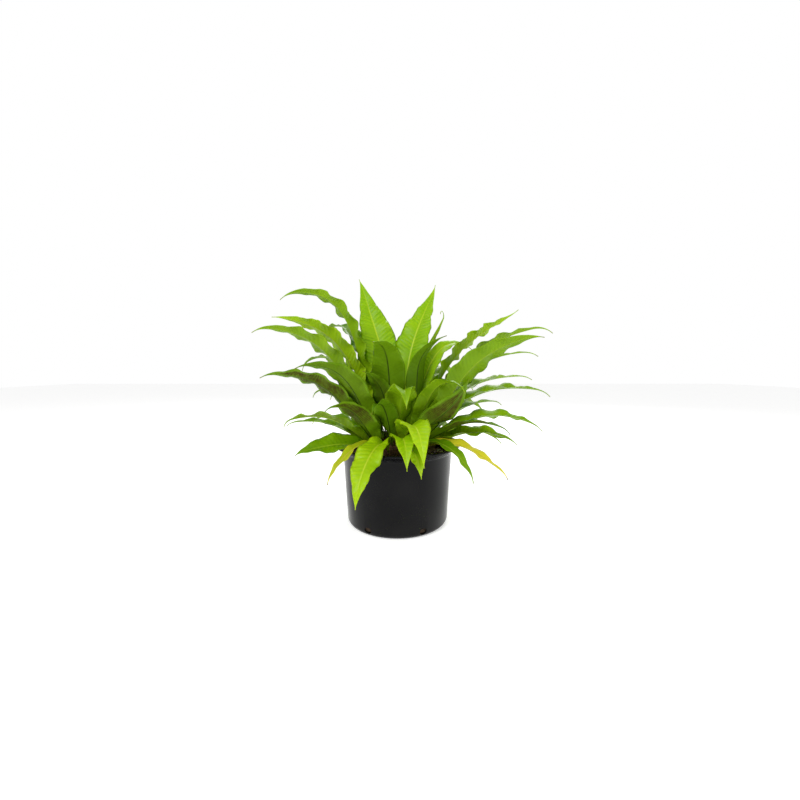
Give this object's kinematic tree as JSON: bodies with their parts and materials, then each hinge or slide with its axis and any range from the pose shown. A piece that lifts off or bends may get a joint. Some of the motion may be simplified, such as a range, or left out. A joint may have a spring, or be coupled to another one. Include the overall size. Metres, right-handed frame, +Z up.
{
  "type": "potted bird's nest fern",
  "caption": "Rosette of long waved fronds rising from a short crown in a round nursery pot filled with potting mix; stands on a flat surface as an indoor plant.",
  "frame": {"origin": "centre of the pot's flat underside", "axes": "+Z up out of the pot; +X to the right and -Y towards the viewer, as the plant is seen from its front; X is the longest extent"},
  "size_m": [0.6019, 0.4867, 0.5145],
  "materials": {
    "pot": "satin",
    "potting_mix": "matte",
    "crown": "matte",
    "frond_young": "satin",
    "frond_leaf": "satin",
    "frond_old": "satin",
    "frond_yellow": "satin"
  },
  "bodies": {
    "root": {"pot": "pot", "potting_mix": "potting_mix", "crown": "crown", "frond_01": "frond_young", "frond_02": "frond_young", "frond_03": "frond_leaf", "frond_04": "frond_young", "frond_05": "frond_young", "frond_06": "frond_leaf", "frond_07": "frond_young", "frond_08": "frond_leaf", "frond_09": "frond_young", "frond_10": "frond_leaf", "frond_11": "frond_leaf", "frond_12": "frond_old", "frond_13": "frond_old", "frond_14": "frond_young", "frond_15": "frond_leaf", "frond_16": "frond_leaf", "frond_17": "frond_leaf", "frond_18": "frond_leaf", "frond_19": "frond_old", "frond_20": "frond_old", "frond_21": "frond_leaf", "frond_22": "frond_leaf", "frond_23": "frond_old", "frond_24": "frond_young", "frond_25": "frond_leaf", "frond_26": "frond_leaf", "frond_27": "frond_leaf", "frond_28": "frond_leaf", "frond_29": "frond_leaf", "frond_30": "frond_leaf", "frond_31": "frond_old", "frond_32": "frond_young", "frond_33": "frond_leaf", "frond_34": "frond_old", "frond_35": "frond_leaf", "frond_36": "frond_leaf", "frond_37": "frond_leaf", "frond_38": "frond_leaf", "frond_39": "frond_leaf", "frond_40": "frond_leaf", "frond_41": "frond_leaf", "frond_42": "frond_leaf", "frond_43": "frond_leaf", "frond_44": "frond_yellow", "frond_45": "frond_young", "frond_46": "frond_young", "frond_47": "frond_leaf", "frond_48": "frond_yellow", "frond_49": "frond_leaf", "frond_50": "frond_leaf", "frond_51": "frond_leaf", "frond_52": "frond_leaf", "frond_53": "frond_leaf", "frond_54": "frond_leaf", "frond_55": "frond_old", "frond_56": "frond_old", "frond_57": "frond_leaf"}
  },
  "joints": []
}
